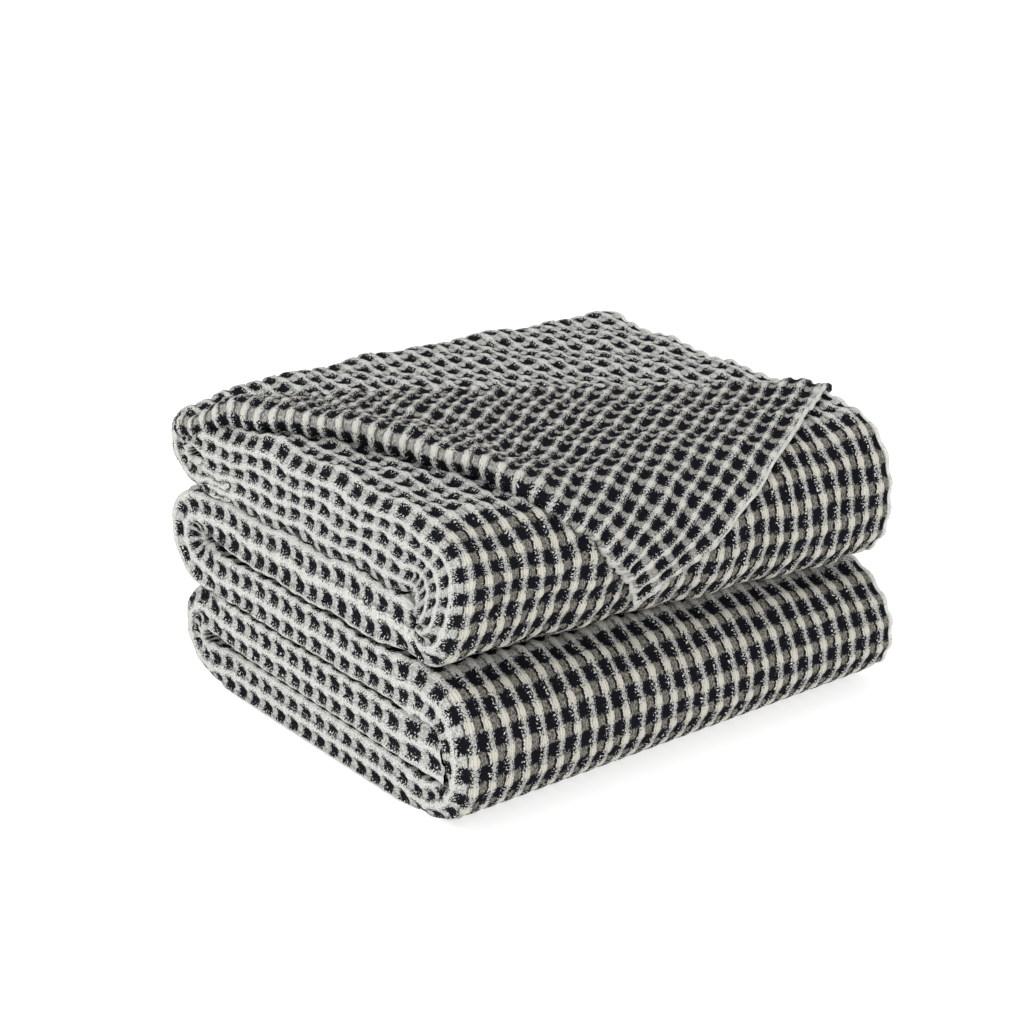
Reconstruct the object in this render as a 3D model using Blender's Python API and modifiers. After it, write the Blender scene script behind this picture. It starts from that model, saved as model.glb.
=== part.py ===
"""Waffle weave cotton throw, folded in four lengthwise, then back and forth into a stack, one top corner turned back.

Metres, +Z up, resting on z = 0. The front (-Y) shows two big rolls, the back (+Y) three loops, the left (-X) the
closed long folds of the strip and the right (+X) its two hems. The cloth is a flat grid carried through both folds
and thickened. A place on it is (along, x, ply): along the strip's route, across the strip, and through its plies.
"""

import bmesh
import bpy
import numpy as np

# The cloth and the stack it makes.
CLOTH = 0.0044  # thickness of the lofty weave
STRIP_WIDTH = 0.318  # a quarter of the throw's width
STACK_DEPTH = 0.282  # front rolls to back loops
LEVELS = 6  # passes of the strip, 0 on top
LEVEL_STEP = 0.0296
PLY_STEP = 0.0075  # between the four plies of the strip
LOOP_PLY_STEP = 0.0066  # the same, squeezed in the back loops
SQUEEZE_LENGTH = 0.060  # of a pass, over which its plies close up towards a back loop
HEM_INSET = 0.004  # the two hems stop this far short of the right side
TAIL_REACH = 0.010  # a tucked tail ends this far inside the front roll
TAIL_PLY_STEP = 0.0054  # where it is squeezed there
TAIL_TAPER = 0.040

OUTER_PLY = 1.5  # plies are counted from the middle of the strip
INNER_PLY = 0.5
STRIP_HALF = OUTER_PLY * PLY_STEP + CLOTH / 2
LOOP_SPREAD = OUTER_PLY * (PLY_STEP - LOOP_PLY_STEP)  # keeps the outside of squeezed passes level
BACK_RADIUS = LEVEL_STEP / 2 + LOOP_SPREAD
FRONT_RADIUS = LEVEL_STEP
BACK_TURN = STACK_DEPTH / 2 - BACK_RADIUS - STRIP_HALF + LOOP_SPREAD
FRONT_TURN = -STACK_DEPTH / 2 + FRONT_RADIUS + STRIP_HALF
TAIL_END = FRONT_TURN - TAIL_REACH
PLAIN_HEIGHT = (LEVELS - 1) * LEVEL_STEP + 2 * STRIP_HALF
PASS_GAP = LEVEL_STEP - 2 * STRIP_HALF

# The strip's route from one tucked end to the other. A spread of -1 or 1 says which way a pass moves, up or down,
# where it nears its back loop.
ROUTE = (
    # kind, level at the start, level at the end, grid steps
    ("tail", 1, 1, 4),
    ("back turn", 1, 0, 8),
    ("run", 0, 0, 7),
    ("front turn", 0, 2, 11),
    ("run", 2, 2, 5),
    ("back turn", 2, 3, 8),
    ("run", 3, 3, 5),
    ("front turn", 3, 5, 11),
    ("run", 5, 5, 5),
    ("back turn", 5, 4, 8),
    ("tail", 4, 4, 4),
)
SPREAD = {0: 1, 1: -1, 2: 1, 3: -1, 4: 1, 5: -1}

# The four plies across the cloth, from one hem to the other.
LEFT = -STRIP_WIDTH / 2 + STRIP_HALF
RIGHT = STRIP_WIDTH / 2 - (OUTER_PLY - INNER_PLY) / 2 * PLY_STEP - CLOTH / 2
HEM = STRIP_WIDTH / 2 - HEM_INSET
ACROSS = (
    # kind, x at the start, x at the end, ply at the start, ply at the end, grid steps
    ("ply", HEM, LEFT, OUTER_PLY, OUTER_PLY, 5),
    ("left fold", LEFT, LEFT, OUTER_PLY, -OUTER_PLY, 7),
    ("ply", LEFT, RIGHT, -OUTER_PLY, -OUTER_PLY, 4),
    ("right fold", RIGHT, RIGHT, -OUTER_PLY, -INNER_PLY, 4),
    ("ply", RIGHT, LEFT, -INNER_PLY, -INNER_PLY, 3),
    ("left fold", LEFT, LEFT, -INNER_PLY, INNER_PLY, 4),
    ("ply", LEFT, HEM, INNER_PLY, INNER_PLY, 3),
)

# How high the dents between the passes run at the four corners of the stack, which leans and sags.
DENTS = (
    # plain height in passes, left back, left front, right front, right back
    (1, 0.0305, 0.0255, 0.0245, 0.0285),
    (2, 0.0620, 0.0570, 0.0495, 0.0570),
    (3, 0.0925, 0.0905, 0.0750, 0.0865),
    (4, 0.1235, 0.1170, 0.1055, 0.1150),
    (5, 0.1540, 0.1455, 0.1360, 0.1415),
    (6, 0.1810, 0.1740, 0.1655, 0.1670),
)
# How far the upper passes stand out of plumb at those corners.
LEAN = (
    # towards +X, towards +Y
    (-0.004, 0.006),
    (0.000, 0.000),
    (-0.004, 0.000),
    (-0.002, -0.004),
)
LEAN_HEIGHT = 0.080  # below which it grows
CENTRING = (0.0022, 0.0007)  # puts the middle of the leaning stack's box on the origin
BACK_RIDGE = 0.004  # the top stands this much higher over the back loops
BACK_RIDGE_WIDTH = 0.035
DIP = 0.018  # the top sinks this much under the thick end of the turned corner's roll
DIP_BACK = 0.066  # from the back to the deepest place, which is at the left side
DIP_LENGTH = 0.050
DIP_WIDTH = 0.040
RELIEF_BASE = 3 * LEVEL_STEP  # the ridge and the dip fade out downwards to here
SWAY = (
    # how far the passes stand out of line, wave length up the stack, wave length along it, phase
    (0.0016, 0.118, 0.41, 0.5),
    (0.0016, 0.093, 0.36, 2.1),
)
SWAY_HEIGHT = 4 * LEVEL_STEP  # below which the sway grows

# The corner of the top ply that is turned back over the crease. Its own length runs along the turned edge, from the
# left back corner to the tip, and its width from there to the crease. Its three corners lie on the top ply, which
# runs on over the front roll.
FLAP_CORNERS = {
    # from the back, from the left side
    "apex": (0.026, 0.000),
    "tip": (0.330, 0.122),
    "crease end": (0.214, 0.320),
}
FLAP_LENGTH = STRIP_WIDTH
FLAP_WIDTH = 0.223  # at the tip
FLAP_SLOPE = FLAP_WIDTH / FLAP_LENGTH
EDGE_BOW = 0.017  # how far the turned edge bows out towards the left side
BOW_PLACE = 1.7  # above 1, the bow is fullest nearer the tip
FLAP_START = 0.030  # of the length, where the roll leaves the corner
ROLL_FULL = 0.070  # of the length, where it is thickest
FLAP_LIFT = CLOTH + 0.0012  # middle of the flap above the middle of the top ply
ROLL_RADIUS = 0.0085  # of the soft roll along the turned edge, where it is thickest
ROLL_LEAST = 0.0004
ROLL_END = 0.262  # of the length, past which the edge is a flat hem
ROLL_CURL = np.radians(200)
CURL_FADE = 0.25  # share of the roll's full thickness below which it uncurls
ROLL_SLOPE = 0.045  # width over which the flap comes down from its roll
CREASE_RADIUS = FLAP_LIFT / 2
CREASE_ROOT = 0.004  # how far the crease's lower side reaches into the top ply
FLAP_STEPS = 22  # grid steps along the turned edge
ROLL_STEPS = 6  # and across it
TOP_STEPS = 6
CREASE_STEPS = 4
LEAST_TOP = 0.002  # width of the flap's top where the crease meets the roll


def remove_everything():
    for item in list(bpy.data.objects):
        bpy.data.objects.remove(item)


def cotton(name, colour, roughness):
    material = bpy.data.materials.new(name)
    material.use_nodes = True
    shader = material.node_tree.nodes["Principled BSDF"]
    shader.inputs["Base Color"].default_value = (*colour, 1)
    shader.inputs["Roughness"].default_value = roughness
    shader.inputs["Metallic"].default_value = 0
    return material


def smooth(value):
    value = np.clip(value, 0, 1)
    return value * value * (3 - 2 * value)


def level_height(level):
    return STRIP_HALF + (LEVELS - 1 - level) * LEVEL_STEP


def joined(stretches):
    """One array from stretches of numbers, each of which starts where the last one ends."""
    return np.concatenate([stretch[:-1] for stretch in stretches[:-1]] + [stretches[-1]])


def route_stations():
    """Columns of y, z, ny, nz, step and along: the middle of the strip, its outward normal, the step between its
    plies, and the length so far."""
    rows = []
    heading = 1
    for kind, start, end, steps in ROUTE:
        share = np.linspace(0, 1, steps + 1)
        if kind.endswith("turn"):
            back = kind.startswith("back")
            step = np.full(steps + 1, LOOP_PLY_STEP if back else PLY_STEP)
            first = level_height(start) + SPREAD[start] * LOOP_SPREAD * back
            last = level_height(end) + SPREAD[end] * LOOP_SPREAD * back
            radius = abs(last - first) / 2
            centre_y = BACK_TURN if back else FRONT_TURN
            turn = np.pi * share
            y = centre_y + heading * radius * np.sin(turn)
            z = first + (last - first) * (1 - np.cos(turn)) / 2
            rising = np.sign(last - first)
            outward = 1 if heading * rising > 0 else -1
            ny = outward * heading * np.sin(turn)
            nz = -outward * rising * np.cos(turn)
            length = np.pi * radius
            heading = -heading
        else:
            far = BACK_TURN if heading > 0 else FRONT_TURN
            near = FRONT_TURN if heading > 0 else BACK_TURN
            if kind == "tail" and heading > 0:
                near = TAIL_END
            if kind == "tail" and heading < 0:
                far = TAIL_END
            y = near + (far - near) * share
            squeeze = smooth(1 - (BACK_TURN - y) / SQUEEZE_LENGTH)
            z = level_height(start) + SPREAD[start] * LOOP_SPREAD * squeeze
            ny = np.zeros(steps + 1)
            nz = np.full(steps + 1, -float(heading))
            step = PLY_STEP + (LOOP_PLY_STEP - PLY_STEP) * squeeze
            if kind == "tail":
                taper = smooth(1 - (y - TAIL_END) / TAIL_TAPER)
                step = step + (TAIL_PLY_STEP - PLY_STEP) * taper
            length = abs(far - near)
        begun = rows[-1][5][-1] if rows else 0
        rows.append((y, z, ny, nz, step, begun + length * share))
    return [joined(column) for column in zip(*rows)]


def across_stations():
    """Columns of x and ply: the place across the strip, and through its plies."""
    xs, plies = [], []
    for kind, x_start, x_end, ply_start, ply_end, steps in ACROSS:
        share = np.linspace(0, 1, steps + 1)
        if kind == "ply":
            x = x_start + (x_end - x_start) * share
            ply = np.full(steps + 1, ply_start)
        else:
            side = -1 if kind.startswith("left") else 1
            reach = abs(ply_end - ply_start) / 2 * PLY_STEP
            x = x_start + side * reach * np.sin(np.pi * share)
            middle = (ply_start + ply_end) / 2
            ply = middle + (ply_start - middle) * np.cos(np.pi * share)
        xs.append(x)
        plies.append(ply)
    return joined(xs), joined(plies)


def between_corners(x, y, values):
    """A value at a place, from those at the left back, left front, right front and right back corners."""
    left_back, left_front, right_front, right_back = values
    east = np.clip(x / STRIP_WIDTH + 0.5, 0, 1)
    north = np.clip(y / STACK_DEPTH + 0.5, 0, 1)
    left = left_front + (left_back - left_front) * north
    right = right_front + (right_back - right_front) * north
    return left + (right - left) * east


def settle(x, y, z):
    """Carries points of the plain stack to where they lie in the leaning, sagging one."""
    plain = [CLOTH / 2] + [row[0] * LEVEL_STEP - PASS_GAP / 2 for row in DENTS]
    plain[-1] = PLAIN_HEIGHT
    real = [np.full(np.shape(x), CLOTH / 2)]
    real += [between_corners(x, y, row[1:]) for row in DENTS]
    settled = z + 0.0
    for below, above, low, high in zip(plain, plain[1:], real, real[1:]):
        share = (z - below) / (above - below)
        settled = np.where(z > below, low + (high - low) * share, settled)
    settled = np.where(z > plain[-1], real[-1] + z - plain[-1], settled)
    ridge = smooth(1 - (STACK_DEPTH / 2 - y) / BACK_RIDGE_WIDTH)
    beside = (x + STRIP_WIDTH / 2) / DIP_WIDTH
    along = (STACK_DEPTH / 2 - y - DIP_BACK) / DIP_LENGTH
    dip = DIP * np.exp(-beside * beside - along * along)
    high = np.clip((z - RELIEF_BASE) / (PLAIN_HEIGHT - RELIEF_BASE), 0, 1)
    settled = settled + (BACK_RIDGE * ridge - dip) * high
    up = smooth((z - CLOTH) / SWAY_HEIGHT)
    sway_x, sway_y = (
        size * np.sin(2 * np.pi * (z / wave_up + other / wave_along) + phase)
        for (size, wave_up, wave_along, phase), other in zip(SWAY, (y, x))
    )
    lean = smooth(z / LEAN_HEIGHT)
    lean_x = between_corners(x, y, [row[0] for row in LEAN])
    lean_y = between_corners(x, y, [row[1] for row in LEAN])
    settled_x = x + up * sway_x + lean * lean_x + CENTRING[0]
    settled_y = y + up * sway_y + lean * lean_y + CENTRING[1]
    return np.stack([settled_x, settled_y, settled], -1)


def on_strip(route, along, x, ply, lift=0):
    """The point at a length along the route, across the strip and through it, lifted off its outer ply."""
    y, z, ny, nz, step = (np.interp(along, route[5], column) for column in route[:5])
    size = np.hypot(ny, nz)
    out = ply * step + lift
    return settle(x, y + out * ny / size, z + out * nz / size)


def grid_object(name, points, material):
    """An object from a grid of points, rows by columns."""
    rows, columns = points.shape[:2]
    mesh = bmesh.new()
    bmesh.ops.create_grid(mesh, x_segments=columns - 1, y_segments=rows - 1, size=0.5)
    for vert in mesh.verts:
        column = round((vert.co.x + 0.5) * (columns - 1))
        row = round((vert.co.y + 0.5) * (rows - 1))
        vert.co = points[row, column]
    data = bpy.data.meshes.new(name)
    mesh.to_mesh(data)
    mesh.free()
    data.materials.append(material)
    item = bpy.data.objects.new(name, data)
    return item


def thicken(item):
    modifier = item.modifiers.new("cloth thickness", "SOLIDIFY")
    modifier.thickness = CLOTH
    modifier.offset = 0
    modifier.use_even_offset = False
    return item


def stack_points(route):
    x, ply = across_stations()
    along, x = np.meshgrid(route[5], x, indexing="ij")
    return on_strip(route, along, x, np.broadcast_to(ply, x.shape))


def edge_bow(length):
    return EDGE_BOW * np.sin(np.pi * (length / FLAP_LENGTH) ** BOW_PLACE)


def flap_section(length):
    """(width, height) of the flap at one length along its turned edge, from the free end of the roll, over the top
    and round the crease into the top ply. Height is from the middle of the top ply."""
    fade = smooth(1 - (length - ROLL_FULL) / (ROLL_END - ROLL_FULL))
    swell = smooth((length - FLAP_START / 2) / (ROLL_FULL - FLAP_START / 2))
    radius = ROLL_LEAST + (ROLL_RADIUS - ROLL_LEAST) * fade * swell
    curl = ROLL_CURL * smooth(fade / CURL_FADE)
    crease = length * FLAP_SLOPE + edge_bow(length)
    angles = np.linspace(curl, 0, ROLL_STEPS + 1)
    roll_width = radius - radius * np.sin(angles)
    roll_height = FLAP_LIFT + radius * (1 + np.cos(angles))
    begin = radius
    end = max(crease - CREASE_RADIUS, begin + LEAST_TOP)
    width = np.linspace(begin, end, TOP_STEPS + 1)[1:]
    height = FLAP_LIFT + 2 * radius * smooth(1 - (width - begin) / ROLL_SLOPE)
    turn = np.linspace(0, np.pi, CREASE_STEPS + 1)[1:]
    half = height[-1] / 2
    crease_width = end + CREASE_RADIUS * np.sin(turn)
    crease_height = half + half * np.cos(turn)
    root = end - CREASE_ROOT
    return (
        np.concatenate([roll_width, width, crease_width, [root]]),
        np.concatenate([roll_height, height, crease_height, [0.0]]),
    )


def top_along(route, from_back):
    """Length along the route of a point of the top ply, at a distance from the back as the cloth runs."""
    roll_start = route[5][sum(row[3] for row in ROUTE[:3])]
    beyond = from_back - (STACK_DEPTH / 2 - FRONT_TURN)
    outside = (FRONT_RADIUS + STRIP_HALF + CLOTH) / FRONT_RADIUS
    return roll_start + np.where(beyond > 0, beyond / outside, beyond)


def flap_points(route):
    apex, tip, crease_end = (np.array(FLAP_CORNERS[name]) for name in ("apex", "tip", "crease end"))
    lengths = np.linspace(FLAP_START, FLAP_LENGTH, FLAP_STEPS + 1)
    rows = []
    for length in lengths:
        width, height = flap_section(length)
        place = apex + length / FLAP_LENGTH * (tip - apex)
        place = place + (width - edge_bow(length))[:, None] / FLAP_WIDTH * (crease_end - tip)
        along = top_along(route, place[:, 0])
        rows.append(on_strip(route, along, place[:, 1] - STRIP_WIDTH / 2, OUTER_PLY, height))
    return np.array(rows)


def join(item, other):
    modifier = item.modifiers.new("turned back corner", "BOOLEAN")
    modifier.operation = "UNION"
    modifier.solver = "EXACT"
    modifier.object = other
    other.hide_render = True
    other.display_type = "WIRE"


def main():
    remove_everything()
    parts = bpy.data.collections.new("waffle weave blanket")
    helpers = bpy.data.collections.new("shapes joined in")
    bpy.context.scene.collection.children.link(parts)
    bpy.context.scene.collection.children.link(helpers)
    material = cotton("cotton", (0.33, 0.32, 0.30), 0.95)
    route = route_stations()
    blanket = thicken(grid_object("blanket", stack_points(route), material))
    parts.objects.link(blanket)
    flap = thicken(grid_object("turned corner", flap_points(route), material))
    helpers.objects.link(flap)
    join(blanket, flap)
    for item in (blanket, flap):
        item.data.shade_smooth()


main()
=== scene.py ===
"""Waffle weave cotton throw, folded in four lengthwise, then back and forth into a stack, one top corner turned back.

Metres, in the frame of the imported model: the front (-Y) shows two big rolls, the back (+Y) three loops, the left (-X)
the closed long folds of the strip and the right (+X) its two hems. Each piece is one layer, the cloth's outer skin.
A place on the flat cloth is a width across it, from hem to hem, and a length along the strip.
"""

import bmesh
import bpy
import numpy as np
from mathutils import Euler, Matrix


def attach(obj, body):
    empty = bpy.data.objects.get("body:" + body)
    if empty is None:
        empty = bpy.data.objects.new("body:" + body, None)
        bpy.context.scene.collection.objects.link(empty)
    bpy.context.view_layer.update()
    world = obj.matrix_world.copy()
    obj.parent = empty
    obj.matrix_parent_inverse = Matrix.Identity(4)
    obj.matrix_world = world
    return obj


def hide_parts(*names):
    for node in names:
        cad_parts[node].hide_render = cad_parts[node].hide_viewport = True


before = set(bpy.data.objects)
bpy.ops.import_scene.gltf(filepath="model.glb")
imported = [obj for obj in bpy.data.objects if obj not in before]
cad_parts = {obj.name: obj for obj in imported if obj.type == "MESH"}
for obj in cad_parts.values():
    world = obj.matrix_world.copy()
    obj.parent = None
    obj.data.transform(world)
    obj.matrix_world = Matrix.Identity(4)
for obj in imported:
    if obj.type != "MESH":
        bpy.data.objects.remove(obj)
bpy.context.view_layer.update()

# The cloth and the stack it makes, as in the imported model.
CLOTH = 0.0044  # thickness of the lofty weave
STRIP_WIDTH = 0.318  # a quarter of the throw's width
STACK_DEPTH = 0.282  # front rolls to back loops
LEVELS = 6  # passes of the strip, 0 on top
LEVEL_STEP = 0.0296
PLY_STEP = 0.0075  # between the four plies of the strip
LOOP_PLY_STEP = 0.0066  # the same, squeezed in the back loops
SQUEEZE_LENGTH = 0.060  # of a pass, over which its plies close up towards a back loop
HEM_INSET = 0.004  # the two hems stop this far short of the right side
TAIL_REACH = 0.010  # a tucked tail ends this far inside the front roll

OUTER_PLY = 1.5  # plies are counted from the middle of the strip
INNER_PLY = 0.5
STRIP_HALF = OUTER_PLY * PLY_STEP + CLOTH / 2
LOOP_SPREAD = OUTER_PLY * (PLY_STEP - LOOP_PLY_STEP)  # keeps the outside of squeezed passes level
BACK_RADIUS = LEVEL_STEP / 2 + LOOP_SPREAD
FRONT_RADIUS = LEVEL_STEP
BACK_TURN = STACK_DEPTH / 2 - BACK_RADIUS - STRIP_HALF + LOOP_SPREAD
FRONT_TURN = -STACK_DEPTH / 2 + FRONT_RADIUS + STRIP_HALF
TAIL_END = FRONT_TURN - TAIL_REACH
PLAIN_HEIGHT = (LEVELS - 1) * LEVEL_STEP + 2 * STRIP_HALF
PASS_GAP = LEVEL_STEP - 2 * STRIP_HALF

# The strip's route from one tucked end to the other, and how finely each stretch is made.
ROUTE = (
    # kind, level at the start and at the end, grid spacing along it, on the outer ply, on the under ply
    ("tail", 1, 1, 0.0034, 0.040, 0.040),
    ("back turn", 1, 0, 0.0026, 0.0023, 0.040),
    ("run", 0, 0, 0.0024, 0.0021, 0.040),
    ("front turn", 0, 2, 0.0020, 0.0019, 0.040),
    ("run", 2, 2, 0.0034, 0.040, 0.040),
    ("back turn", 2, 3, 0.0026, 0.040, 0.0023),
    ("run", 3, 3, 0.0034, 0.040, 0.040),
    ("front turn", 3, 5, 0.0020, 0.0019, 0.040),
    ("run", 5, 5, 0.0034, 0.012, 0.040),
    ("back turn", 5, 4, 0.0026, 0.0023, 0.040),
    ("tail", 4, 4, 0.0034, 0.040, 0.040),
)
SPREAD = {0: 1, 1: -1, 2: 1, 3: -1, 4: 1, 5: -1}  # which way a pass moves, up or down, where it nears its back loop
ROUTE_STEP = 0.001  # of the table that the route is read from
TURN_EASE = {"front turn": 0.004, "back turn": 0.003}  # the weave opens up as if the turn were this much wider

# Across the cloth, from one hem to the other.
LEFT = -STRIP_WIDTH / 2 + STRIP_HALF
SIDE = -STRIP_WIDTH / 2 + CLOTH / 2  # middle of the cloth on the left side
FOLD_CORNER = 0.0070  # the closed folds have flat faces, with rounded edges of this radius at the turns and on top
TIGHT_CORNER = 0.0011  # and of this one in the middle of the other passes and at their lower edges
CORNER_FADE = 0.024  # of a pass, from its turns, over which one radius becomes the other
FOLD_TUCK = 0.010  # and run in this far at the dent between two passes
FOLD_COLUMNS = 43  # of the grid, round such a fold
UNDER_START = SIDE + FOLD_CORNER + FOLD_TUCK
RIGHT = STRIP_WIDTH / 2 - (OUTER_PLY - INNER_PLY) / 2 * PLY_STEP - CLOTH / 2
HEM = STRIP_WIDTH / 2 - HEM_INSET
HEM_WIDTH = 0.014  # turned under
HEM_FOLD = 0.12  # in plies
HEM_SHOWS = 0.0010  # of the edge is plain
HIDDEN_SPACING = 0.040
ACROSS = (
    # kind, x at the start and at the end, ply at the start and at the end, grid spacing
    ("hem", HEM - HEM_WIDTH, HEM, OUTER_PLY - HEM_FOLD, OUTER_PLY - HEM_FOLD, 0.0035),
    ("right fold", HEM, HEM, OUTER_PLY - HEM_FOLD, OUTER_PLY, 0.00025),
    ("outer ply", HEM, SIDE + FOLD_CORNER, OUTER_PLY, OUTER_PLY, None),
    ("side", SIDE + FOLD_CORNER, UNDER_START, OUTER_PLY, -OUTER_PLY, None),
    ("under ply", UNDER_START, RIGHT, -OUTER_PLY, -OUTER_PLY, None),
    ("right fold", RIGHT, RIGHT, -OUTER_PLY, -INNER_PLY, 0.0015),
    ("ply", RIGHT, LEFT, -INNER_PLY, -INNER_PLY, HIDDEN_SPACING),
    ("left fold", LEFT, LEFT, -INNER_PLY, INNER_PLY, 0.003),
    ("ply", LEFT, HEM, INNER_PLY, INNER_PLY, HIDDEN_SPACING),
    ("right fold", HEM, HEM, INNER_PLY, INNER_PLY + HEM_FOLD, 0.00025),
    ("hem", HEM, HEM - HEM_WIDTH, INNER_PLY + HEM_FOLD, INNER_PLY + HEM_FOLD, 0.0035),
)
ACROSS_STEP = 0.0001
SIDE_LENGTH = 2 * OUTER_PLY * PLY_STEP + (np.pi - 2) * FOLD_CORNER + FOLD_TUCK
RIB_START = 0.0024  # a rib runs along the edge of the closed folds
INNER_CORNER = 0.0022  # radius of the lower edge of a pinched fold
FOLD_FADE = 0.030  # width over which the under ply comes back to its own height
INSET_FADE = 0.120  # width over which a withdrawn or drawn side comes back to its place
SIDE_STARTS = 0.005  # this far from the edge the weave takes on its look of the left side
LOOK_FADE = 0.018  # of the front rolls' ends, over which the stretched weave's colours come in
SIDE_WEAVE = 0.90  # the weave is stretched on the left side, so that there is this much of it

# How high the dents between the passes run at the four corners of the stack, which leans and sags.
DENTS = (
    # plain height in passes, left back, left front, right front, right back
    (1, 0.0305, 0.0255, 0.0245, 0.0285),
    (2, 0.0620, 0.0570, 0.0495, 0.0570),
    (3, 0.0925, 0.0905, 0.0750, 0.0865),
    (4, 0.1215, 0.1330, 0.1055, 0.1150),
    (5, 0.1520, 0.1535, 0.1360, 0.1415),
    (6, 0.1810, 0.1740, 0.1655, 0.1670),
)
# How far the upper passes stand out of plumb at those corners.
LEAN = (
    # towards +X, towards +Y
    (-0.004, 0.004),
    (0.000, 0.000),
    (-0.006, 0.000),
    (-0.004, -0.004),
)
LEAN_HEIGHT = 0.120  # below which it grows
CENTRING = (0.0022, 0.0007)  # puts the middle of the leaning stack's box on the origin
BACK_RIDGE = 0.004  # the top stands this much higher over the back loops
BACK_RIDGE_WIDTH = 0.035
SHOULDER = 0.0050  # and this much at the right end of the turned corner's crease
SHOULDER_PLACE = (0.159, -0.074)  # x and y
SHOULDER_WIDTHS = (0.036, 0.034)
DIP = 0.010  # the top sinks this much under the thick end of the turned corner's roll
DIP_BACK = 0.036  # from the back to the deepest place, which is at the left side
DIP_LENGTH = 0.045
DIP_WIDTH = 0.045
DIP_TURN = np.radians(60)  # over the back loop the dip goes inwards as well, by up to this angle
DIP_TURN_START = 0.010  # before the back loop
DIP_TURN_LENGTH = 0.034
RELIEF_BASE = 4 * LEVEL_STEP  # the ridge and the dip fade out downwards to here
SWAY = (
    # how far the passes stand out of line, wave length up the stack, wave length along it, phase
    (0.0016, 0.118, 0.41, 0.5),
    (0.0016, 0.093, 0.36, 2.1),
)
SWAY_HEIGHT = 4 * LEVEL_STEP  # below which the sway grows
WAVES = (
    # how uneven the soft cloth lies, and the wave lengths along x, y and z
    (0.0009, 0.083, 0.061, 0.071),
    (0.0007, -0.047, 0.055, 0.090),
    (0.0004, 0.034, 0.029, -0.040),
)
WAVE_SHIFT = 2.4  # phase from one wave to the next
WAVE_LAG = 1.7  # and between its rise and its push to the side

# The turned-back corner. Its own length runs along the turned edge, from the left back corner to the tip, and its width
# from there to the crease.
FLAP_CORNERS = {
    # from the back, from the left side
    "apex": (0.018, -0.0050),
    "tip": (0.342, 0.123),
    "crease end": (0.211, 0.327),
}
FLAP_LENGTH = 0.350
FLAP_WEAVE = 0.90  # its ribs lie closer than those of the stretched top
FLAP_LOOK = 0.50  # the other face of the cloth shows this much of the stretched weave's colours
FLAP_FACE = 0.012  # this far from the turned edge the other face of the cloth begins
FLAP_RIB_START = 0.0052  # from the left end of its turned edge
FLAP_SINKS = 0.0048  # at the right end of the crease
FLAP_SINKS_LENGTH = 0.026
FLAP_WIDTH = 0.223  # at the tip
FLAP_SLOPE = FLAP_WIDTH / FLAP_LENGTH
EDGE_BOW = (
    # share of the turned edge's length, how far it bows out towards the left side there
    (0.00, 0.0000),
    (0.10, 0.0070),
    (0.20, 0.0118),
    (0.40, 0.0064),
    (0.55, 0.0118),
    (0.70, 0.0198),
    (0.84, 0.0125),
    (0.92, 0.0042),
    (1.00, 0.0000),
)
BOW_SOFTENS = 0.05  # of that length either side, over which the bow is evened out
FLAP_START = 0.0005  # of the length, where the roll leaves the corner
ROLL_FULL = 0.016  # of the length, where it is thickest
ROLL_KEEPS = 0.190  # and it keeps that to here
FLAP_LIFT = CLOTH + 0.0006  # middle of the flap above the middle of the top ply
ROLL_RADIUS = 0.0052  # of the soft roll along the turned edge, where it is thickest
ROLL_LEAST = 0.0004
ROLL_END = 0.292  # of the length, past which the edge is a flat hem
ROLL_CURL = np.radians(200)
ROLL_UNDER = 0.010  # of the edge's cloth runs on flat under the flap
ROLL_SLOPE = 0.045  # width over which the flap comes down from its roll
CREASE_RADIUS = FLAP_LIFT / 2
CREASE_ROOT = 0.004  # how far the crease's lower side reaches into the top ply
FLAP_SPACING = 0.0017  # of its grid along the turned edge
FLAP_COLUMNS = 130
FLAP_HEM = 0.0018  # of its hems is plain
LEAST_TOP = 0.002  # width of the flap's top where the crease meets the roll
START_DROP = 0.018  # the start of the roll hangs this far down over the left edge of the stack
START_DROP_LENGTH = 0.050
# Points that the outline of its section is read from.
UNDER_SAMPLES = 12
ROLL_SAMPLES = 60
TOP_SAMPLES = 200
CREASE_SAMPLES = 30

# The weave: ribs along the strip, with a bead on them at every second square of the cells between.
RIB_PITCH = 0.0115
CELL_LENGTH = 0.0134  # from one bead to the next
SKIN = CLOTH / 2
RIB_RISE = 0.0010  # over the skin, of a bead
NECK_RISE = 0.4  # share of that which a rib has between its beads
CELL_SINK = 0.0015  # under the skin, of a cell between two necks
CELL_LEAST = 0.45  # share of that which it has between two beads
RIB_FOOT = 0.36  # half of a rib's width where it meets the cells, as a share of the pitch
BEAD_FOOT = 0.08  # and this much more at a bead
RIB_SHOULDER = 0.22  # width of its slope
MERGE_DISTANCE = 0.00002


def smooth(value):
    value = np.clip(value, 0, 1)
    return value * value * (3 - 2 * value)


def level_height(level):
    return STRIP_HALF + (LEVELS - 1 - level) * LEVEL_STEP


def joined(stretches):
    """One array from stretches of numbers, each of which starts where the last one ends."""
    return np.concatenate([stretch[:-1] for stretch in stretches[:-1]] + [stretches[-1]])


def steps_for(length, spacing):
    return max(int(np.ceil(abs(length) / spacing)), 1)


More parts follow.
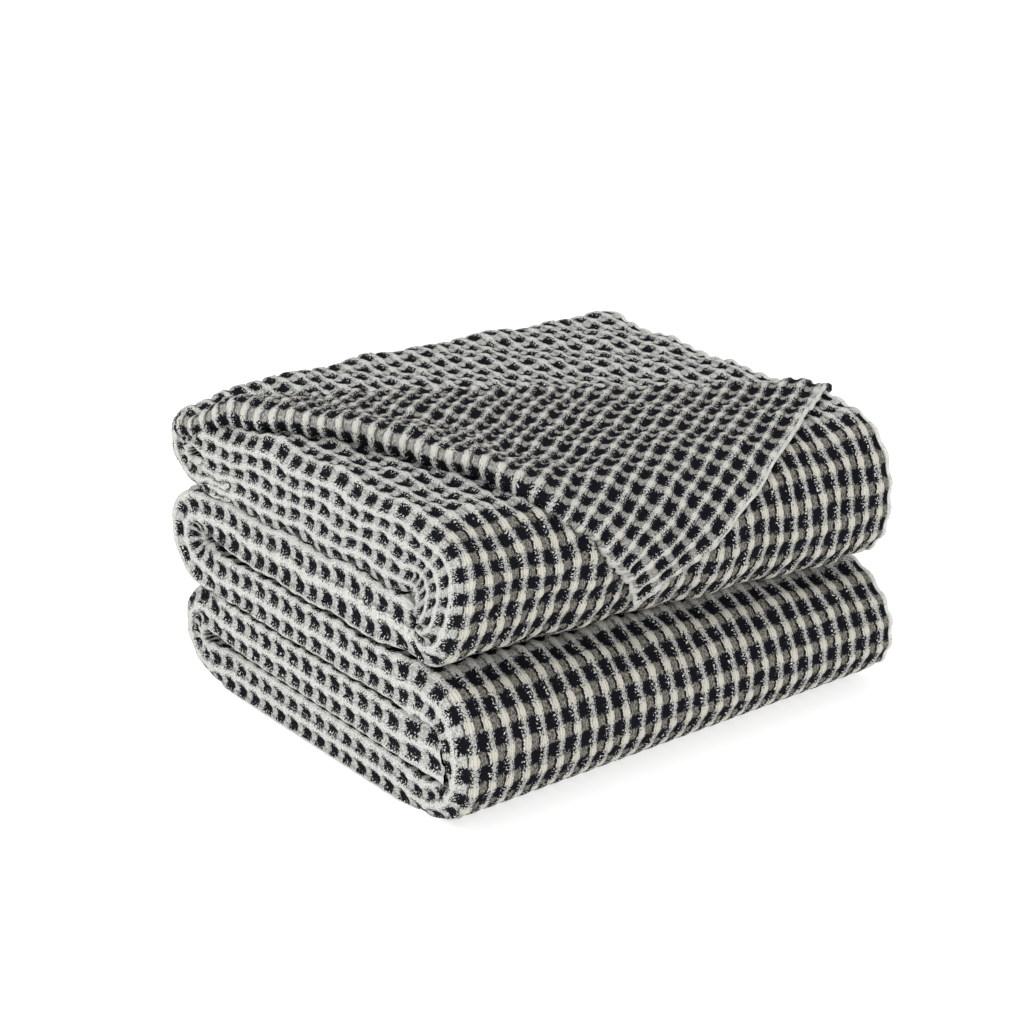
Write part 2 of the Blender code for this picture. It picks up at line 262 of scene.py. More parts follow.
# Where the left side of a front roll ends inwards, at an angle round the roll.
UPPER_DENT = level_height(1) - LEVEL_STEP / 2
FRONT_SIDES = {
    # by the level that the roll starts from: degrees round it, y, plain z
    0: (
        (0, FRONT_TURN, UPPER_DENT + 0.0020),
        (30, FRONT_TURN - 0.001, UPPER_DENT - 0.001),
        (110, FRONT_TURN - 0.004, UPPER_DENT - 0.010),
        (180, FRONT_TURN, UPPER_DENT - 0.017),
    ),
    3: (
        (0, FRONT_TURN, 0.0585),
        (35, -0.111, 0.0600),
        (60, -0.117, 0.0550),
        (85, -0.121, 0.0450),
        (105, -0.1235, 0.0350),
        (125, -0.1215, 0.0260),
        (180, FRONT_TURN, 0.0255),
    ),
}
LOOP_FILL = 0.0030  # the soft cloth bulges this far into the hollow of a back loop, at the left side
LIP_START = 0.002  # the top pass's side reaches down over the tucked tail, from this far before the back loop
LIP_RAMP = 0.020
PINCH_LENGTHS = {2: 0.005, 3: 0.020, 5: 0.015}  # of a pass, where its side meets that of the front roll
PINCH_HEIGHTS = {2: FRONT_SIDES[0][-1][2], 3: FRONT_SIDES[3][0][2], 5: FRONT_SIDES[3][-1][2]}
TAIL_INSET = 0.045  # the upper tail's side withdraws this far, from this far before the back loop
TAIL_LEAVES = 0.030
TAIL_DRAWN = 0.040  # of the lower tail is drawn forwards at its left, to meet the roll's side
TAIL_GAP = 0.0012

WOVEN, ALONG = 5, 6  # columns of the route's table
FLAT_WIDTH = 2  # column of the table across the cloth


def route_table():
    """Columns of what there is along the strip's route, then where each stretch starts and ends. The columns are

    y, z, ny, nz: the middle of the strip and its outward normal;
    step: between its plies;
    woven, along: the length of its weave and its own length so far;
    to_y, to_z: where its left side ends inwards;
    inset: how far that side withdraws;
    pinch: 1 where it meets a front roll's side, else 0;
    drawn: share of the way that a tail's end is drawn forwards;
    corner: radius of the side's edge.
    """
    rows, ends = [], [0.0]
    heading = 1
    woven = 0.0
    for kind, start, end, *_ in ROUTE:
        if kind.endswith("turn"):
            back = kind.startswith("back")
            first = level_height(start) + SPREAD[start] * LOOP_SPREAD * back
            last = level_height(end) + SPREAD[end] * LOOP_SPREAD * back
            radius = abs(last - first) / 2
            length = np.pi * radius
            share = np.linspace(0, 1, steps_for(length, ROUTE_STEP) + 1)
            step = np.full(len(share), LOOP_PLY_STEP if back else PLY_STEP)
            centre_y = BACK_TURN if back else FRONT_TURN
            turn = np.pi * share
            y = centre_y + heading * radius * np.sin(turn)
            z = first + (last - first) * (1 - np.cos(turn)) / 2
            rising = np.sign(last - first)
            outward = 1 if heading * rising > 0 else -1
            ny = outward * heading * np.sin(turn)
            nz = -outward * rising * np.cos(turn)
            heading = -heading
            weave = np.pi * (radius + TURN_EASE[kind])
        else:
            far = BACK_TURN if heading > 0 else FRONT_TURN
            near = FRONT_TURN if heading > 0 else BACK_TURN
            if kind == "tail" and heading > 0:
                near = TAIL_END
            if kind == "tail" and heading < 0:
                far = TAIL_END
            length = weave = abs(far - near)
            share = np.linspace(0, 1, steps_for(length, ROUTE_STEP) + 1)
            y = near + (far - near) * share
            squeeze = smooth(1 - (BACK_TURN - y) / SQUEEZE_LENGTH)
            z = level_height(start) + SPREAD[start] * LOOP_SPREAD * squeeze
            ny = np.zeros(len(share))
            nz = np.full(len(share), -float(heading))
            step = PLY_STEP + (LOOP_PLY_STEP - PLY_STEP) * squeeze
        size = np.hypot(ny, nz)
        filled = LOOP_FILL * abs(ny / size) * kind.startswith("back")
        to_y = y - (OUTER_PLY * step + filled) * ny / size
        to_z = z - (OUTER_PLY * step + filled) * nz / size
        inset, pinch, drawn = np.zeros((3, len(share)))
        corner = np.full(len(share), FOLD_CORNER)
        if kind in ("run", "tail") and start > 0:
            from_turn = np.minimum(BACK_TURN - y, y - FRONT_TURN)
            corner = TIGHT_CORNER + (FOLD_CORNER - TIGHT_CORNER) * smooth(1 - from_turn / CORNER_FADE)
        if kind == "front turn":
            degrees, side_y, side_z = zip(*FRONT_SIDES[start])
            to_y = np.interp(180 * share, degrees, side_y)
            to_z = np.interp(180 * share, degrees, side_z)
            pinch = np.ones(len(share))
        elif kind == "run" and start == 0:
            lower = smooth((BACK_TURN - LIP_START - y) / LIP_RAMP)
            to_z = to_z + (FRONT_SIDES[0][0][2] - to_z) * lower
            pinch = lower
        elif kind == "run":
            near_front = smooth(1 - (y - FRONT_TURN) / PINCH_LENGTHS[start])
            to_z = to_z + (PINCH_HEIGHTS[start] - to_z) * near_front
            pinch = near_front
        elif kind == "tail" and start == 1:
            inset = TAIL_INSET * smooth((BACK_TURN - TAIL_LEAVES - y) / TAIL_LEAVES)
        elif kind == "tail":
            drawn = smooth(1 - (y - TAIL_END) / TAIL_DRAWN)
        middle = (y, z, ny, nz, step, woven + weave * share, ends[-1] + length * share)
        rows.append((*middle, to_y, to_z, inset, pinch, drawn, corner))
        ends.append(ends[-1] + length)
        woven += weave
    return [joined(column) for column in zip(*rows)], ends


def across_table():
    """Columns of x, ply and width: the place across the strip, through its plies, and across the flat cloth. Then where
    each stretch starts and ends."""
    rows, ends = [], [0.0]
    for kind, x_start, x_end, ply_start, ply_end, _ in ACROSS:
        if kind == "side":
            length = SIDE_LENGTH
            share = np.linspace(0, 1, steps_for(length, ACROSS_STEP) + 1)
            x = x_start + (x_end - x_start) * share
            ply = ply_start + (ply_end - ply_start) * share
        elif kind.endswith("fold"):
            side = -1 if kind.startswith("left") else 1
            reach = abs(ply_end - ply_start) / 2 * PLY_STEP
            length = np.pi * reach
            share = np.linspace(0, 1, steps_for(length, ACROSS_STEP) + 1)
            x = x_start + side * reach * np.sin(np.pi * share)
            middle = (ply_start + ply_end) / 2
            ply = middle + (ply_start - middle) * np.cos(np.pi * share)
        else:
            length = abs(x_end - x_start)
            share = np.linspace(0, 1, steps_for(length, ACROSS_STEP) + 1)
            x = x_start + (x_end - x_start) * share
            ply = np.full(len(share), ply_start)
        rows.append((x, ply, ends[-1] + length * share))
        ends.append(ends[-1] + length)
    return [joined(column) for column in zip(*rows)], ends


def between_corners(x, y, values):
    """A value at a place, from those at the left back, left front, right front and right back corners."""
    left_back, left_front, right_front, right_back = values
    east = np.clip(x / STRIP_WIDTH + 0.5, 0, 1)
    north = np.clip(y / STACK_DEPTH + 0.5, 0, 1)
    left = left_front + (left_back - left_front) * north
    right = right_front + (right_back - right_front) * north
    return left + (right - left) * east


def settle(x, y, z):
    """Carries points of the plain stack to where they lie in the leaning, sagging one."""
    plain = [CLOTH / 2] + [row[0] * LEVEL_STEP - PASS_GAP / 2 for row in DENTS]
    plain[-1] = PLAIN_HEIGHT
    real = [np.full(np.shape(x), CLOTH / 2 + RIB_RISE)]
    real += [between_corners(x, y, row[1:]) for row in DENTS]
    settled = real[0] + z - plain[0]
    for below, above, low, high in zip(plain, plain[1:], real, real[1:]):
        share = (z - below) / (above - below)
        settled = np.where(z > below, low + (high - low) * share, settled)
    settled = np.where(z > plain[-1], real[-1] + z - plain[-1], settled)
    ridge = smooth(1 - (STACK_DEPTH / 2 - y) / BACK_RIDGE_WIDTH)
    beside = (x + STRIP_WIDTH / 2) / DIP_WIDTH
    along = (STACK_DEPTH / 2 - y - DIP_BACK) / DIP_LENGTH
    dip = DIP * np.exp(-beside * beside - along * along)
    high = np.clip((z - RELIEF_BASE) / (PLAIN_HEIGHT - RELIEF_BASE), 0, 1)
    inwards = DIP_TURN * np.clip((y - BACK_TURN + DIP_TURN_START) / DIP_TURN_LENGTH, 0, 1)
    off_shoulder = ((place - at) / width for place, at, width in zip((x, y), SHOULDER_PLACE, SHOULDER_WIDTHS))
    shoulder = SHOULDER * np.exp(-sum(off * off for off in off_shoulder))
    settled = settled + (BACK_RIDGE * ridge + shoulder - dip * np.cos(inwards)) * high
    up = smooth((z - CLOTH) / SWAY_HEIGHT)
    sway_x, sway_y = (
        size * np.sin(2 * np.pi * (z / wave_up + other / wave_along) + phase)
        for (size, wave_up, wave_along, phase), other in zip(SWAY, (y, x))
    )
    for number, (size, *waves) in enumerate(WAVES):
        crests = 2 * np.pi * sum(place / wave for place, wave in zip((x, y, z), waves)) + WAVE_SHIFT * number
        settled = settled + size * up * np.sin(crests)
        sway_x = sway_x + size * np.sin(crests + WAVE_LAG)
        sway_y = sway_y + size * np.cos(crests)
    lean = smooth(z / LEAN_HEIGHT)
    lean_x = between_corners(x, y, [row[0] for row in LEAN])
    lean_y = between_corners(x, y, [row[1] for row in LEAN]) - dip * np.sin(inwards) * high
    settled_x = x + up * sway_x + lean * lean_x + CENTRING[0]
    settled_y = y + up * sway_y + lean * lean_y + CENTRING[1]
    return np.stack([settled_x, settled_y, settled], -1)


def on_strip(along, x, ply, lift=0):
    """The point at a length along the route, across the strip and through it, lifted off that ply."""
    y, z, ny, nz, step = (np.interp(along, ROUTE_AT[ALONG], column) for column in ROUTE_AT[:5])
    size = np.hypot(ny, nz)
    out = ply * step + lift
    return settle(x, y + out * ny / size, z + out * nz / size)


def side_section(way, reach, corner, inner_corner):
    """How far down the side and in from it a closed fold's section is, at a share of the way from its outer ply round
    the side to the tuck under it. Then the way along the cloth's outside from the corner, and the flat cloth before
    the corner."""
    corner = np.minimum(corner, reach / 2)
    inner_corner = np.minimum(inner_corner, reach / 2)
    lead = FOLD_CORNER - corner
    first = np.pi / 2 * corner
    flat = reach - corner - inner_corner
    last = np.pi / 2 * inner_corner
    run = way * (lead + first + flat + last + FOLD_TUCK + FOLD_CORNER - inner_corner) - lead
    turn = np.clip(run / np.maximum(corner, 1e-6), 0, np.pi / 2)
    turned = np.clip((run - first - flat) / np.maximum(inner_corner, 1e-6), 0, np.pi / 2)
    on_flat = np.clip(run - first, 0, flat)
    tucked = np.maximum(run - first - flat - last, 0)
    down = corner * (1 - np.cos(turn)) + on_flat + inner_corner * np.sin(turned)
    inwards = corner * (1 - np.sin(turn)) + inner_corner * (1 - np.cos(turned)) + tucked + np.maximum(-run, 0)
    return down, inwards, run + SKIN * (turn + turned), lead


def in_stack(along, across):
    """The middle of the cloth at a length along the route and a width across the flat cloth, and the cloth's own width
    there."""
    x, ply = (np.interp(across, ACROSS_AT[FLAT_WIDTH], column) for column in ACROSS_AT[:2])
    (y, z, ny, nz, step, _, _, to_y, to_z, inset, pinch, drawn, corner) = (
        np.interp(along, ROUTE_AT[ALONG], column) for column in ROUTE_AT
    )
    size = np.hypot(ny, nz)
    out = ply * step
    plain_y, plain_z = y + out * ny / size, z + out * nz / size
    start, end = SIDE_ENDS
    way = (across - start) / (end - start)
    outer_y, outer_z = (y + OUTER_PLY * step * ny / size, z + OUTER_PLY * step * nz / size)
    under_y, under_z = (y - OUTER_PLY * step * ny / size, z - OUTER_PLY * step * nz / size)
    reach = np.hypot(to_y - outer_y, to_z - outer_z)
    inner_corner = TIGHT_CORNER + (INNER_CORNER - TIGHT_CORNER) * pinch
    down, inwards, run, lead = side_section(np.clip(way, 0, 1), reach, corner, inner_corner)
    share = down / np.maximum(reach, 1e-6)
    on_side = (way > 0) & (way < 1)
    beyond = way >= 1
    fade = 1 - smooth((x - UNDER_START) / FOLD_FADE)
    y = np.where(on_side, outer_y + (to_y - outer_y) * share, plain_y + np.where(beyond, fade * (to_y - under_y), 0))
    z = np.where(on_side, outer_z + (to_z - outer_z) * share, plain_z + np.where(beyond, fade * (to_z - under_z), 0))
    x = np.where(on_side, SIDE + inwards, x)
    near_side = 1 - smooth((x - SIDE) / INSET_FADE)
    x = x + inset * near_side
    meets_y, meets_z = (np.array(column) for column in list(zip(*FRONT_SIDES[3][1:-1]))[1:])
    order = np.argsort(meets_z)
    y = y + drawn * near_side * (np.interp(z, meets_z[order], meets_y[order]) + TAIL_GAP - TAIL_END)
    width = np.where(way <= 0, across - lead * SIDE_WEAVE, start + run * SIDE_WEAVE)
    width = np.where(beyond, across - end + start + run * SIDE_WEAVE, width)
    return settle(x, y, z), width


def cloth_middle(along, across):
    return in_stack(along, across)[0]


def outwards(surface, rows, columns, nudge=0.0003):
    """Unit normals of a surface given as a function of two lengths."""
    down = surface(rows + nudge, columns) - surface(rows - nudge, columns)
    over = surface(rows, columns + nudge) - surface(rows, columns - nudge)
    normal = np.cross(over, down)
    return normal / np.maximum(np.linalg.norm(normal, axis=-1, keepdims=True), 1e-12)


def weave_relief(width, length):
    """Height of the weave over the skin of the cloth, at a place on the flat cloth."""
    from_rib = np.abs((width / RIB_PITCH + 0.5) % 1 - 0.5)
    bead = 0.5 + 0.5 * np.cos(2 * np.pi * length / CELL_LENGTH)
    rib = smooth((RIB_FOOT + BEAD_FOOT * bead - from_rib) / RIB_SHOULDER)
    top = RIB_RISE * (NECK_RISE + (1 - NECK_RISE) * bead)
    cell = -CELL_SINK * (CELL_LEAST + (1 - CELL_LEAST) * (1 - bead))
    return top * rib + cell * (1 - rib)


def cloth_grid(mesh, places, weave, hem):
    """A grid of cloth in a mesh, from its points, rows by columns.

    weave: each point's width and length on the flat cloth, and its look, which is 1 where the cloth is stretched round
    a roll, -1 on the left side and 0 elsewhere;
    hem: 1 in a hem, -1 on the other face of the cloth and 0 elsewhere.
    """
    rows, columns = places.shape[:2]
    made = bmesh.ops.create_grid(mesh, x_segments=columns - 1, y_segments=rows - 1, size=0.5)
    layer = mesh.verts.layers.float_vector["weave"]
    hem_layer = mesh.verts.layers.float["hem"]
    for vert in made["verts"]:
        column = round((vert.co.x + 0.5) * (columns - 1))
        row = round((vert.co.y + 0.5) * (rows - 1))
        vert.co = places[row, column]
        vert[layer] = weave[row, column]
        vert[hem_layer] = hem[row, column]


def new_piece(name, mesh, material):
    data = bpy.data.meshes.new(name)
    mesh.to_mesh(data)
    mesh.free()
    data.materials.append(material)
    data.shade_smooth()
    piece = bpy.data.objects.new(name, data)
    bpy.context.scene.collection.objects.link(piece)
    return piece


def new_mesh():
    mesh = bmesh.new()
    mesh.verts.layers.float_vector.new("weave")
    mesh.verts.layers.float.new("hem")
    return mesh


def folded_cloth(material):
    mesh = new_mesh()
    for index, (kind, _, _, row_spacing, outer_spacing, under_spacing) in enumerate(ROUTE):
        begin, end = ROUTE_ENDS[index : index + 2]
        along = np.linspace(begin, end, steps_for(end - begin, row_spacing) + 1)
        spacings = {"outer ply": outer_spacing, "under ply": under_spacing}
        spacings["side"] = SIDE_LENGTH / (FOLD_COLUMNS - 1)
        across = joined([
            np.linspace(first, last, steps_for(last - first, spacings.get(row[0], row[5])) + 1)
            for row, first, last in zip(ACROSS, ACROSS_ENDS, ACROSS_ENDS[1:])
        ])
        rows, columns = np.meshgrid(along, across, indexing="ij")
        length = np.interp(rows, ROUTE_AT[ALONG], ROUTE_AT[WOVEN])
        middle, width = in_stack(rows, columns)
        relief = weave_relief(width - SIDE_ENDS[0] - RIB_START, length)
        points = middle + outwards(cloth_middle, rows, columns) * (SKIN + relief)[..., None]
        side = smooth(((width - SIDE_ENDS[0]) / SIDE_WEAVE - SIDE_STARTS) / SIDE_STARTS) * (columns < SIDE_ENDS[1])
        roll = smooth((rows - begin) / LOOK_FADE) * smooth((end - rows) / LOOK_FADE) * (kind == "front turn")
        stretched = (1 - side) * roll - side
        weave = np.stack([width - SIDE_ENDS[0] - RIB_START, length, stretched], -1)
        hem = ((columns < ACROSS_ENDS[2] + HEM_SHOWS) | (columns > ACROSS_ENDS[-3] - HEM_SHOWS)).astype(float)
        cloth_grid(mesh, points, weave, hem)
    bmesh.ops.remove_doubles(mesh, verts=mesh.verts, dist=MERGE_DISTANCE)
    return new_piece("folded_cloth", mesh, material)


def edge_bow(length):
    around = length / FLAP_LENGTH + np.linspace(-BOW_SOFTENS, BOW_SOFTENS, 11)
    return np.interp(around, *zip(*EDGE_BOW)).mean()


def roll_swell(length):
    """How thick the roll is by this length, as a share: it starts round, like a finger's end."""
    short = 1 - np.clip(length / ROLL_FULL, 0, 1)
    return np.sqrt(1 - short * short)


def flap_section(length):
    """Columns of width, height and the cloth's own width so far: the flap at one length along its turned edge, from
    under its roll, over the top and round the crease into the top ply. Height is from the middle of the top ply."""
    fade = smooth(1 - (length - ROLL_KEEPS) / (ROLL_END - ROLL_KEEPS))
    swell = roll_swell(length)
    radius = ROLL_LEAST + (ROLL_RADIUS - ROLL_LEAST) * fade * swell
    crease = length * FLAP_SLOPE + edge_bow(length)
    angles = np.linspace(ROLL_CURL, 0, ROLL_SAMPLES)
    roll_width = radius - radius * np.sin(angles)
    roll_height = FLAP_LIFT + radius * (1 + np.cos(angles))
    end = max(crease - CREASE_RADIUS, radius + LEAST_TOP)
    under = min(ROLL_UNDER, max(crease - radius, 0.001) / 2)
    under_width = roll_width[0] + np.linspace(under, 0, UNDER_SAMPLES)[:-1]
    under_height = np.full(UNDER_SAMPLES - 1, roll_height[0])
    width = np.linspace(radius, end, TOP_SAMPLES)[1:]
    height = FLAP_LIFT + 2 * radius * smooth(1 - (width - radius) / ROLL_SLOPE)
    turn = np.linspace(0, np.pi, CREASE_SAMPLES)[1:]
    half = height[-1] / 2
    crease_width = end + CREASE_RADIUS * np.sin(turn)
    crease_height = half + half * np.cos(turn)
    widths = np.concatenate([under_width, roll_width, width, crease_width, [end - CREASE_ROOT]])
    heights = np.concatenate([under_height, roll_height, height, crease_height, [0.0]])
    run = np.concatenate([[0], np.cumsum(np.hypot(np.diff(widths), np.diff(heights)))])
    return widths, heights, run - run[len(under_width)]


def top_along(from_back):
    """Length along the route of a point of the top ply, at a distance from the back as the cloth runs."""
    roll_start = ROUTE_ENDS[3]
    beyond = from_back - (STACK_DEPTH / 2 - FRONT_TURN)
    outside = (FRONT_RADIUS + STRIP_HALF + CLOTH) / FRONT_RADIUS
    return roll_start + np.where(beyond > 0, beyond / outside, beyond)


def flap_places(lengths):
    """The middle of the turned corner's cloth, and its weave, by rows at these lengths along the turned edge."""
    apex, tip, crease_end = (np.array(FLAP_CORNERS[name]) for name in ("apex", "tip", "crease end"))
    points, weave = [], []
    for length in lengths:
        width, height, run = flap_section(length)
        share = np.linspace(run[0], run[-1], FLAP_COLUMNS)
        width, height = np.interp(share, run, width), np.interp(share, run, height)
        place = apex + length / FLAP_LENGTH * (tip - apex)
        place = place + (width - edge_bow(length))[:, None] / FLAP_WIDTH * (crease_end - tip)
        from_end = np.hypot(*(place - crease_end).T)
        rise = -FLAP_SINKS * smooth(1 - from_end / FLAP_SINKS_LENGTH) * np.minimum(height / FLAP_LIFT, 1)
        rise = rise - START_DROP * smooth(1 - length / START_DROP_LENGTH)
        points.append(on_strip(top_along(place[:, 0]), place[:, 1] - STRIP_WIDTH / 2, OUTER_PLY, height + rise))
        ribs = np.full(FLAP_COLUMNS, length / FLAP_WEAVE - FLAP_RIB_START)
        weave.append(np.stack([ribs, share, np.full(FLAP_COLUMNS, FLAP_LOOK)], -1))
    return np.array(points), np.array(weave)


def grid_normals(points):
    over = np.gradient(points, axis=1)
    down = np.gradient(points, axis=0)
    normal = np.cross(over, down)
    return normal / np.maximum(np.linalg.norm(normal, axis=-1, keepdims=True), 1e-12)


def turned_corner(material):
    lengths = np.linspace(FLAP_START, FLAP_LENGTH, steps_for(FLAP_LENGTH - FLAP_START, FLAP_SPACING) + 1)
    points, weave = (grid[:, ::-1] for grid in flap_places(lengths))
    relief = weave_relief(weave[..., 0], weave[..., 1]) * roll_swell(lengths / 2)[:, None]
    points = points + grid_normals(points) * (SKIN + relief)[..., None]
    mesh = new_mesh()
    side_hem = (lengths[:, None] > FLAP_LENGTH - FLAP_HEM) & (weave[..., 1] < FLAP_WIDTH - ROLL_UNDER)
    end_hem = (lengths[:, None] > ROLL_END) & (abs(weave[..., 1]) < FLAP_HEM)
    face = smooth((weave[..., 1] - FLAP_FACE) / FLAP_FACE)
    cloth_grid(mesh, points, weave, np.where(side_hem | end_hem, 1.0, -face))
    return new_piece("turned_corner", mesh, material)


class Number:
    """A number that varies over a surface, so that a formula written with it becomes Math nodes."""

    def __init__(self, finish, socket):
        self.finish = finish
        self.socket = socket

    def math(self, operation, *others):
        values = [other.socket if isinstance(other, Number) else other for other in (self, *others)]
        node = self.finish.node("ShaderNodeMath", {"operation": operation}, *values)
        return Number(self.finish, node.outputs[0])

    def swapped(self, operation, other):
        node = self.finish.node("ShaderNodeMath", {"operation": operation}, other, self.socket)
        return Number(self.finish, node.outputs[0])

    def __add__(self, other):
        return self.math("ADD", other)

    def __radd__(self, other):
        return self.math("ADD", other)

    def __sub__(self, other):
        return self.math("SUBTRACT", other)

    def __rsub__(self, other):
        return self.swapped("SUBTRACT", other)

    def __mul__(self, other):
        return self.math("MULTIPLY", other)

    def __rmul__(self, other):
        return self.math("MULTIPLY", other)

    def __truediv__(self, other):
        return self.math("DIVIDE", other)

    def __neg__(self):
        return self.math("MULTIPLY", -1.0)

    def __mod__(self, other):
        return self.math("FLOORED_MODULO", other)

    def __abs__(self):
        return self.math("ABSOLUTE")

    def cosine(self):
        return self.math("COSINE")

    def clipped(self):
        return self.math("MAXIMUM", 0.0).math("MINIMUM", 1.0)

    def greater(self, other):
        return self.math("MAXIMUM", other)

    def ramp(self, low, high):
        """0 below low, 1 above high, smooth between. With low over high it falls instead."""
        share = ((self - low) / (high - low)).clipped()
        return share * share * (3.0 - 2.0 * share)


class Finish:
    """A material's nodes."""

    def __init__(self, name):
        self.material = bpy.data.materials.new(name)
        self.material.use_nodes = True
        self.tree = self.material.node_tree
        self.shader = self.tree.nodes["Principled BSDF"]

    def put(self, socket, value):
        if isinstance(value, Number):
            value = value.socket
        if isinstance(value, bpy.types.NodeSocket):
            self.tree.links.new(value, socket)
        elif value is not None:
            socket.default_value = value

    def node(self, kind, settings, *values, **named):
        made = self.tree.nodes.new(kind)
        for setting, value in settings.items():
            setattr(made, setting, value)
        for socket, value in zip(made.inputs, values):
            self.put(socket, value)
        for name, value in named.items():
            self.put(made.inputs[name.replace("_", " ")], value)
        return made

    def number(self, socket):
        return Number(self, socket)

    def mix(self, share, low, high):
        made = self.node("ShaderNodeMix", {"data_type": "RGBA"})
        sockets = [socket for socket in made.inputs if socket.name in ("Factor", "A", "B") and socket.enabled]
        for socket, value in zip(sockets, (share, low, high)):
            self.put(socket, value)
        return [socket for socket in made.outputs if socket.enabled][0]

    def point(self, x, y, z=0.0):
        return self.node("ShaderNodeCombineXYZ", {}, x, y, z).outputs[0]

    def noise(self, place, scale, detail=2.0, roughness=0.5):
        made = self.node("ShaderNodeTexNoise", {}, Vector=place, Scale=scale, Detail=detail, Roughness=roughness)
        return self.number(made.outputs[0])

    def set(self, **values):
        for name, value in values.items():
            self.put(self.shader.inputs[name.replace("_", " ")], value)


# Colours of the yarns as they show in each square of the weave. Black also paints the shadow beside each bead.
CREAM = (0.69, 0.66, 0.58, 1)
CREAM_SHADE = (0.50, 0.48, 0.42, 1)
NECK = (0.58, 0.58, 0.55, 1)
NECK_SHADE = (0.34, 0.34, 0.33, 1)
WHITE = (0.77, 0.77, 0.73, 1)
WHITE_SHADE = (0.52, 0.52, 0.50, 1)
GREY = (0.30, 0.285, 0.245, 1)
GREY_SHADE = (0.085, 0.08, 0.07, 1)
LIGHT_GREY = (0.66, 0.66, 0.63, 1)
LIGHT_GREY_SHADE = (0.36, 0.36, 0.34, 1)
BLACK = (0.006, 0.006, 0.010, 1)
# How fine the unevenness of the threads is, in spots per metre.
THREAD_ENDS = 1250.0
WANDER = 150.0
HATCH = 900.0
BREAKS = 420.0
SPECKS = 1050.0
STRANDS = 6.5  # in the pitch of the ribs


def waffle_cotton():
    """Places in a square of the weave are shares of the ribs' pitch or of the cells' length."""
    finish = Finish("waffle cotton")
    place = finish.node("ShaderNodeAttribute", {"attribute_name": "weave"}).outputs["Vector"]
    parts = finish.node("ShaderNodeSeparateXYZ", {}, place)
    width, length, look = (finish.number(parts.outputs[i]) for i in range(3))
    stretched = look.greater(0.0)
    side = (-look).greater(0.0)
    hem = finish.number(finish.node("ShaderNodeAttribute", {"attribute_name": "hem"}).outputs["Fac"])
    other_face = (-hem).clipped()
    flat = finish.point(width, length)
    # Threads poke over the edges of the squares, along the cloth and across it.
    ends_across = finish.noise(finish.point(width * 0.4, length), THREAD_ENDS, 1.0) - 0.5
    ends_along = finish.noise(finish.point(width, length * 0.4, 0.3), THREAD_ENDS, 1.0) - 0.5
    wander = finish.noise(flat, WANDER, 1.0) - 0.5
    along = length / CELL_LENGTH + (ends_along * 0.34 + wander * 0.14)
    from_bead = abs((along + 0.5) % 1.0 - 0.5)
    bead = from_bead.ramp(0.34, 0.10)
    straight = width / RIB_PITCH + wander * 0.16
    across = straight + ends_across * (0.27 - 0.14 * bead)
    beside = 0.5 - (across + 0.5) % 1.0
    from_rib = abs(beside)
    edge = from_rib - (0.132 + 0.052 * bead + 0.070 * side - 0.020 * other_face)
    rib = edge.ramp(0.025, -0.025)
    black = (from_bead - 0.022 * stretched + 0.050 * other_face).ramp(0.178, 0.228)

    hatch = finish.noise(finish.point(width * 1.6, length * 0.8, 0.7), HATCH, 1.0).ramp(0.40, 0.60)
    between_strands = (straight * (2 * np.pi * STRANDS)).cosine().ramp(-0.1, -0.9)
    bead_colour = finish.mix(between_strands * (0.4 + 0.5 * hatch), CREAM, CREAM_SHADE)
    neck_colour = finish.mix(hatch, NECK_SHADE, NECK)
    white = finish.mix(hatch * 0.75 + 0.25, WHITE_SHADE, WHITE)
    rib_colour = finish.mix(stretched, white, finish.mix(bead, neck_colour, bead_colour))
    grey = finish.mix(hatch, GREY_SHADE, GREY)
    light_grey = finish.mix(hatch, LIGHT_GREY_SHADE, LIGHT_GREY)
    cell_colour = finish.mix(black, finish.mix(stretched, light_grey, grey), BLACK)
    colour = finish.mix(rib, cell_colour, rib_colour)

    # Along one side of each bead winds a dark line, partly a black thread and partly painted shadow of the bead, with a
    # thin pale thread between, and a broken dark thread along the other side.
    thread_and_shadow = abs(beside + 0.30).ramp(0.065, 0.03) * from_bead.ramp(0.34, 0.24)
    colour = finish.mix(thread_and_shadow * (0.35 + 0.65 * stretched), colour, BLACK)
    broken = finish.noise(finish.point(width, length, 0.9), BREAKS, 1.0).ramp(0.44, 0.52)
    far_thread = abs(beside - 0.225).ramp(0.055, 0.025) * from_bead.ramp(0.32, 0.20) * broken
    colour = finish.mix(far_thread * (0.20 + 0.60 * stretched), colour, BLACK)
    pale_thread = abs(beside + 0.225).ramp(0.04, 0.015) * from_bead.ramp(0.22, 0.14) * stretched
    colour = finish.mix(pale_thread, colour, CREAM)

    # Loose fibre ends show as dark specks on the ribs and as pale ones in the cells.
    speck = finish.noise(flat, SPECKS, 1.0)
    rim = abs(edge - 0.01).ramp(0.18 + 0.04 * side, 0.06) * from_bead.ramp(0.06, 0.18)
    dark_speck = (speck + 0.035 * side + 0.025 * other_face).ramp(0.54, 0.58) * rim * rib
    pale_speck = speck.ramp(0.425, 0.385) * rim * (1.0 - rib)
    colour = finish.mix(dark_speck, colour, BLACK)
    colour = finish.mix(pale_speck, colour, WHITE)

    # Hems are plain, because the cloth is turned there and its cells don't show.
    colour = finish.mix(hem.ramp(0.3, 0.7), colour, finish.mix(hatch * 0.5 + 0.5, WHITE_SHADE, WHITE))

    height = rib * 0.5 + bead * (0.3 - 0.25 * between_strands) + hatch * 0.2 - black * (1.0 - rib) * 0.4 - thread_and_shadow * 0.3
    bump = finish.node("ShaderNodeBump", {}, Strength=0.8, Distance=0.0012, Height=height)
    finish.set(Base_Color=colour, Roughness=0.95, Normal=bump.outputs[0])
    finish.set(Specular_IOR_Level=0.12)
    return finish.material


FLOOR_REACH = 40  # to each side


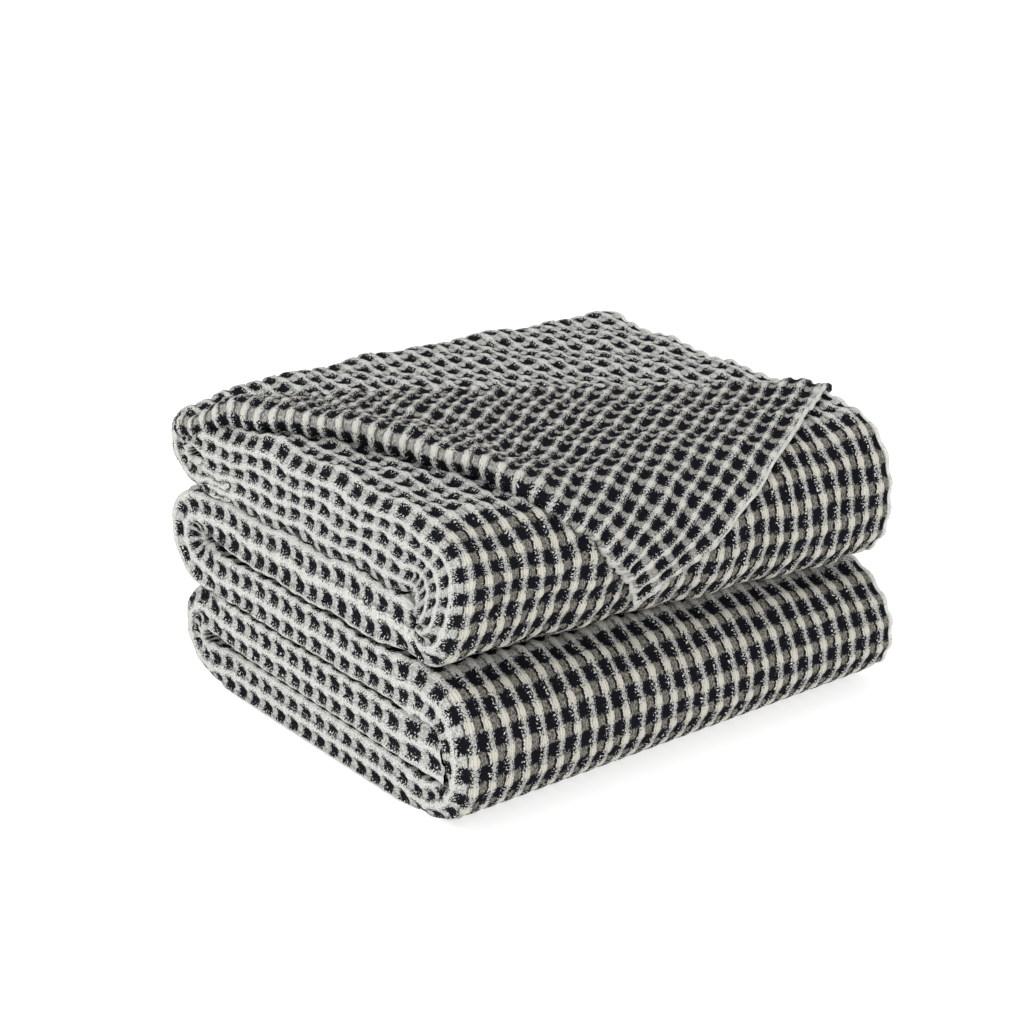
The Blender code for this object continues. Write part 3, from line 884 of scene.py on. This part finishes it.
def pale_floor():
    """Glows a little, so that it is as white as in the studio and keeps only a faint shadow."""
    finish = Finish("pale floor")
    finish.set(Base_Color=(0.5, 0.5, 0.5, 1), Roughness=0.9)
    finish.set(Emission_Color=(1, 1, 1, 1), Emission_Strength=0.68)
    return finish.material


def floor_piece():
    mesh = bmesh.new()
    bmesh.ops.create_grid(mesh, x_segments=1, y_segments=1, size=FLOOR_REACH)
    return new_piece("floor", mesh, pale_floor())


LENS = 101.5  # millimetres, on a sensor this wide
SENSOR = 36
CAMERA_PLACE = (-0.9645, -1.2217, 0.7533)
CAMERA_DOWN = 0.3933
CAMERA_YAW = 0.6593


def camera():
    data = bpy.data.cameras.new("camera")
    data.lens = LENS
    data.sensor_width = SENSOR
    data.clip_end = 50
    item = bpy.data.objects.new("camera", data)
    item.location = CAMERA_PLACE
    item.rotation_euler = Euler((np.pi / 2 - CAMERA_DOWN, 0, -CAMERA_YAW))
    bpy.context.scene.collection.objects.link(item)
    bpy.context.scene.camera = item


LIGHTS = (
    # name, place, what it points at, side of the square panel, watts
    ("key light", (-2.3, -0.7, 2.2), (0, 0, 0.1), 3.0, 48),
    ("front light", (0.9, -2.6, 1.5), (0, 0, 0.1), 2.0, 12),
)
ROOM_LIGHT = 0.70


def light(name, place, target, size, power):
    data = bpy.data.lights.new(name, "AREA")
    data.size = size
    data.energy = power
    item = bpy.data.objects.new(name, data)
    item.location = place
    away = np.array(place) - np.array(target)
    item.rotation_euler = Euler((np.arctan2(np.hypot(away[0], away[1]), away[2]), 0, np.arctan2(away[0], -away[1])))
    bpy.context.scene.collection.objects.link(item)


def room_light():
    world = bpy.data.worlds.new("room")
    world.use_nodes = True
    world.node_tree.nodes["Background"].inputs["Color"].default_value = (1, 1, 1, 1)
    world.node_tree.nodes["Background"].inputs["Strength"].default_value = ROOM_LIGHT
    bpy.context.scene.world = world
    bpy.context.scene.view_settings.view_transform = "Standard"


ROUTE_AT, ROUTE_ENDS = route_table()
ACROSS_AT, ACROSS_ENDS = across_table()
SIDE_ENDS = ACROSS_ENDS[3:5]

cotton = waffle_cotton()
cloth = folded_cloth(cotton)
corner = turned_corner(cotton)
floor = floor_piece()
camera()
room_light()
for row in LIGHTS:
    light(*row)

for piece in (cloth, corner):
    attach(piece, "root")
    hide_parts("blanket")
